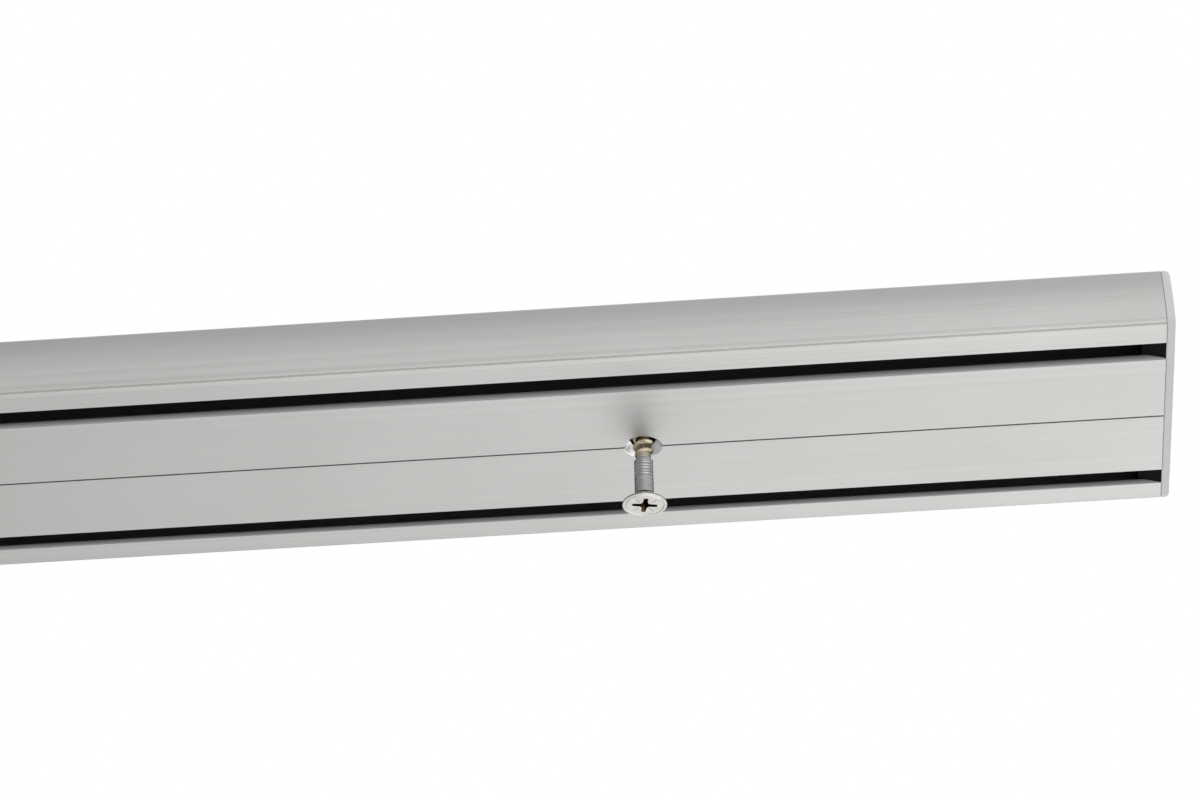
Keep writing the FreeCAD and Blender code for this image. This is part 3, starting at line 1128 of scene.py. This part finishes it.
# %% Dressing the rail
OUTER, CONE, BORE, INSIDE_SHADE, LIP = range(5)
LEVEL = 0.95
SLOPING = 0.3
LIP_WALL_TILT = 0.9
CROSSWISE = 0.5
JUST_UNDER = 0.98
SKIN = SIDE_RADIUS - WALL / 2


def hole_part(face):
    """The cone or the bore of a hole, or the outside where the face is in none."""
    reach = min(math.hypot(face.center.x - x, face.center.y) for x in hole_places)
    if reach > COUNTERSINK / 2 or abs(face.normal.z) > LEVEL:
        return OUTER
    return CONE if abs(face.normal.z) > SLOPING else BORE


def is_inside(face):
    """A face of a channel, of the middle hollow or of the centre groove."""
    height = face.center.z - UNDERSIDE
    across = abs(face.center.y)
    between = JUST_UNDER * LIP_THICK < height < HEIGHT - JUST_UNDER * WALL
    in_channel = across > CHANNEL_IN - TOUCHING and math.hypot(across - SIDE_AXIS, height - FOOT) <= SKIN
    in_hollow = across < HOLLOW_HALF + TOUCHING
    in_groove = across < GROOVE_WIDTH / 2 - TOUCHING / 2 and height < GROOVE_DEPTH
    return in_groove or (between and (in_channel or in_hollow))


def is_lip(face):
    """A face of a slot's narrow walls."""
    height = face.center.z - UNDERSIDE
    across = abs(face.center.y)
    reach = SLOT_EDGE + TOUCHING
    in_slot = SLOT_IN - reach < across < SLOT_OUT + reach and height < JUST_UNDER * LIP_THICK
    return in_slot and abs(face.normal.x) < CROSSWISE and abs(face.normal.z) < LIP_WALL_TILT


def rail_part(face):
    part = hole_part(face)
    if part != OUTER:
        return part
    if is_lip(face):
        return LIP
    # Faces inside the channels, the hollow and the centre groove get the painted shade.
    return INSIDE_SHADE if is_inside(face) else OUTER


dress(rail, outer_metal, cone_metal, bore_painted_reflection, shaded_inner_metal, shaded_lip_metal)
for face in rail.data.polygons:
    face.material_index = rail_part(face)
counts = [sum(face.material_index == part for face in rail.data.polygons) for part in range(5)]
print("outer, cone, bore, inner and lip faces:", counts)

# %% [markdown]
# ## Plastics
#
# The caps are light grey moulded plastic with a faint texture, a little darker and flatter
# than the metal. What a cap hides in the rail is painted almost black, with little shine:
# painted shade, so that the slot's end stays dark. The gliders are the usual milky white.

# %% Caps and gliders
CAP_DARK = (0.635, 0.635, 0.652)
CAP_LIGHT = (0.655, 0.655, 0.672)
# Painted shade: the near-black of what a cap hides stands in for the shade at each slot's end.
HIDDEN_SHADE_DARK = (0.007, 0.0065, 0.0065)
HIDDEN_SHADE_LIGHT = (0.010, 0.0095, 0.0095)
GLIDER_DARK = (0.74, 0.74, 0.72)
GLIDER_LIGHT = (0.79, 0.79, 0.77)
SMOOTHER = 0.04
ROUGHER = 0.05
HIDDEN_END = rail_high.x + CAP_INNER_EDGE / 8


def plastic(name, dark, light, roughness, grain, ior=1.5):
    material, shader, place = new_material(name, metallic=0.0, roughness=roughness, IOR=ior)
    patches = add_group(material, HANDLING, place, Size=90.0)
    fine = add_group(material, HANDLING, place, Size=grain)
    mix_colours(material, patches, dark, light, shader.inputs["Base Color"])
    map_value(material, patches, shader.inputs["Roughness"], roughness - SMOOTHER, roughness + ROUGHER)
    add_bump(material, fine, shader, strength=0.12, distance=0.02 * MM)
    return material


cap_plastic = plastic("cap_plastic", CAP_DARK, CAP_LIGHT, roughness=0.40, grain=2500.0)
glider_plastic = plastic("glider_plastic", GLIDER_DARK, GLIDER_LIGHT, roughness=0.38, grain=1800.0)
hidden_painted_shade = plastic("hidden_painted_shade", HIDDEN_SHADE_DARK, HIDDEN_SHADE_LIGHT, roughness=0.6, grain=1800.0, ior=1.1)
for cap in (right_cap, left_cap):
    dress(cap, cap_plastic, hidden_painted_shade)
    for face in cap.data.polygons:
        face.material_index = 1 if abs(face.center.x) < HIDDEN_END else 0
for piece in gliders:
    dress(piece, glider_plastic)
print("hidden faces of a cap:", sum(face.material_index for face in right_cap.data.polygons))

# %% [markdown]
# ## The screw's zinc
#
# The screw is zinc plated. Its head is painted almost white and its shank greyer: painted
# light and painted shade on the same plating. The thread's cream and brown are a painted
# reflection, and the recess is painted dark brown as painted shade. Turned lines run round
# its axis. The edge tint of a metal says how much light is left where the surface turns
# away from the eye; a dark edge tint puts painted shade on the flanks of the shank and
# thread.

# %% The screw
SHANK, FACE, RECESS, THREAD = range(4)
FACE_SKIN = 0.02 * MM
RECESS_REACH = 0.52 * RECESS_SPAN
RECESS_ROOF = 1.02 * RECESS_DEPTH
HEAD_HEIGHT = HEAD_RIM + 0.9 * (CONE_RADIUS - SHANK_RADIUS)


def zinc(name, dark, light, roughness, edge):
    smoothest, roughest = roughness
    # Painted shade: an edge tint near black darkens the shank's and the thread's flanks.
    tint = (edge, edge, edge, 1)
    material, shader, place = new_material(name, metallic=1.0, roughness=smoothest, Specular_Tint=tint)
    lines = add_group(material, FINE_LINES, place, Stretch=(500, 500, 7000), Contrast=1.8)
    patches = add_group(material, HANDLING, place, Size=900.0)
    mix_colours(material, lines, dark, light, shader.inputs["Base Color"])
    map_value(material, patches, shader.inputs["Roughness"], smoothest, roughest)
    add_bump(material, patches, shader, strength=0.2, distance=0.02 * MM)
    return material


def screw_part(face):
    height = face.center.z - screw_low.z
    out = math.hypot(face.center.x - SCREW_X, face.center.y)
    if out < RECESS_REACH and FACE_SKIN < height < RECESS_ROOF:
        return RECESS
    if height < HEAD_HEIGHT and abs(face.normal.z) > SLOPING:
        return FACE
    return THREAD if height > SHANK_LENGTH + CORE_NECK / 2 else SHANK


# Painted light and shade: the head's near-white and the shank's darker grey are one zinc plating, lit and
# shaded.
dress(screw,
      zinc("zinc_shank_painted_shade", (0.30, 0.30, 0.31), (0.80, 0.80, 0.82), roughness=(0.12, 0.24), edge=0.05),
      zinc("zinc_face_painted_light", (0.72, 0.71, 0.67), (0.92, 0.91, 0.87), roughness=(0.25, 0.45), edge=1.0),
      # Painted shade: the recess is dark brown because it is a hollow where little light falls.
      zinc("zinc_recess_painted_shade", (0.05, 0.03, 0.015), (0.30, 0.20, 0.11), roughness=(0.25, 0.40), edge=0.2),
      # Painted reflection: the thread's cream and brown stand in for warm glints in the hole.
      zinc("zinc_thread_painted_reflection", (0.20, 0.15, 0.07), (0.90, 0.83, 0.66), roughness=(0.10, 0.22), edge=0.05))
for face in screw.data.polygons:
    face.material_index = screw_part(face)
counts = [sum(face.material_index == part for face in screw.data.polygons) for part in range(4)]
print("shank, head, recess and thread faces:", counts)

# %% [markdown]
# ## The floor
#
# The track hangs over a plain pale floor, in a white room. What the eye sees of the room is
# even. What the metal mirrors is not: a studio is brightest where its large soft light
# stands, here to the right, and it fades on both sides of that. Without such a fall-off a
# metal has no form. So the floor answers mirror rays with its own values. It is
# see-through from beneath, so that a viewer who looks up from below it still sees the
# track.

# %% The floor
FLOOR_DROP = 800 * MM
FLOOR_SIZE = 40.0
FLOOR_WHITE = (0.85, 0.85, 0.85)
FLOOR_ROUGHNESS = 0.9
FLOOR_GLOW = {"middle": 1.1, "reach": (0.2, 1.3), "levels": (1.22, 0.44)}


def add_glow(nodes, link, value, middle, reach, levels):
    """The first level where the value is near the middle, falling to the second on both sides."""
    away = nodes.new("ShaderNodeMath")
    away.operation = "SUBTRACT"
    away.inputs[1].default_value = middle
    distance = nodes.new("ShaderNodeMath")
    distance.operation = "ABSOLUTE"
    fall = nodes.new("ShaderNodeMapRange")
    fall.inputs["From Min"].default_value, fall.inputs["From Max"].default_value = reach
    fall.inputs["To Min"].default_value, fall.inputs["To Max"].default_value = levels
    link(value, away.inputs[0])
    link(away.outputs[0], distance.inputs[0])
    link(distance.outputs[0], fall.inputs["Value"])
    return fall.outputs["Result"]


def floor_material():
    material = bpy.data.materials.new("floor_pale")
    material.use_nodes = True
    nodes, link = material.node_tree.nodes, material.node_tree.links.new
    shader = nodes["Principled BSDF"]
    shader.inputs["Base Color"].default_value = (*FLOOR_WHITE, 1)
    shader.inputs["Roughness"].default_value = FLOOR_ROUGHNESS
    place = nodes.new("ShaderNodeTexCoord")
    parts = nodes.new("ShaderNodeSeparateXYZ")
    mirrored_floor = nodes.new("ShaderNodeEmission")
    rays = nodes.new("ShaderNodeLightPath")
    above = nodes.new("ShaderNodeMixShader")
    side = nodes.new("ShaderNodeNewGeometry")
    clear = nodes.new("ShaderNodeBsdfTransparent")
    both = nodes.new("ShaderNodeMixShader")
    link(place.outputs["Object"], parts.inputs[0])
    link(add_glow(nodes, link, parts.outputs["X"], **FLOOR_GLOW), mirrored_floor.inputs["Strength"])
    link(rays.outputs["Is Glossy Ray"], above.inputs["Fac"])
    link(shader.outputs[0], above.inputs[1])
    link(mirrored_floor.outputs[0], above.inputs[2])
    link(side.outputs["Backfacing"], both.inputs["Fac"])
    link(above.outputs[0], both.inputs[1])
    link(clear.outputs[0], both.inputs[2])
    link(both.outputs[0], nodes["Material Output"].inputs["Surface"])
    return material


def make_floor():
    deselect()
    bpy.ops.mesh.primitive_plane_add(size=FLOOR_SIZE, location=(0, 0, UNDERSIDE - FLOOR_DROP))
    bpy.ops.object.transform_apply(location=True)
    floor = bpy.context.object
    floor.name = "floor"
    dress(floor, floor_material())
    return floor


floor = make_floor()
print("floor at", round(floor.data.vertices[0].co.z / MM), "mm")

# %% [markdown]
# ## The white room
#
# The world is the room. The camera sees it plain white, and surfaces are lit by it evenly
# from all sides. Mirror rays find it brightest to the right and at about 30 degrees up,
# by the same kind of fall-off as on the floor.

# %% The world
SEEN_WHITE = 1.0
DIFFUSE_LIGHT = 0.97
ROOM_ACROSS = {"middle": 0.30, "reach": (0.05, 0.60), "levels": (1.12, 0.37)}
ROOM_UP = {"middle": 0.5, "reach": (0.08, 0.5), "levels": (1.26, 0.44)}


def choose(nodes, link, ray, otherwise, strength):
    """The strength for one kind of ray, and the other value for the rest."""
    mix = nodes.new("ShaderNodeMix")
    mix.inputs["B"].default_value = strength
    link(otherwise, mix.inputs["A"])
    link(ray, mix.inputs["Factor"])
    return mix.outputs["Result"]


def make_world():
    world = bpy.data.worlds.new("studio")
    world.use_nodes = True
    nodes, link = world.node_tree.nodes, world.node_tree.links.new
    place = nodes.new("ShaderNodeTexCoord")
    parts = nodes.new("ShaderNodeSeparateXYZ")
    rays = nodes.new("ShaderNodeLightPath")
    link(place.outputs["Generated"], parts.inputs[0])
    across = add_glow(nodes, link, parts.outputs["X"], **ROOM_ACROSS)
    upwards = add_glow(nodes, link, parts.outputs["Z"], **ROOM_UP)
    both = nodes.new("ShaderNodeMath")
    both.operation = "MULTIPLY"
    link(across, both.inputs[0])
    link(upwards, both.inputs[1])
    lit = choose(nodes, link, rays.outputs["Is Diffuse Ray"], both.outputs[0], DIFFUSE_LIGHT)
    seen = choose(nodes, link, rays.outputs["Is Camera Ray"], lit, SEEN_WHITE)
    link(seen, nodes["Background"].inputs["Strength"])
    nodes["Background"].inputs["Color"].default_value = (1, 1, 1, 1)
    return world


scene.world = make_world()
print("world:", scene.world.name)

# %% [markdown]
# ## One soft lamp
#
# A large soft lamp high behind the track lets its top and back catch a little more light
# than the room alone gives. It is too weak to burn anything out.

# %% The lamp
LAMP_PLACE = (0.2, 1.8, 2.4)
LAMP_SIDE = 2.5
LAMP_POWER = 4.0


def make_lamp(name, place, side, power):
    """A square lamp that looks at the track's middle."""
    data = bpy.data.lights.new(name, "AREA")
    data.shape = "RECTANGLE"
    data.size = side
    data.size_y = side
    data.energy = power
    lamp = bpy.data.objects.new(name, data)
    lamp.location = place
    lamp.rotation_mode = "QUATERNION"
    lamp.rotation_quaternion = (-Vector(place)).to_track_quat("-Z", "Y")
    scene.collection.objects.link(lamp)
    return lamp


lamp = make_lamp("soft_above", LAMP_PLACE, LAMP_SIDE, LAMP_POWER)
scene.view_settings.view_transform = "Standard"
print("lamp:", round(lamp.location.length, 1), "m from the track's middle")
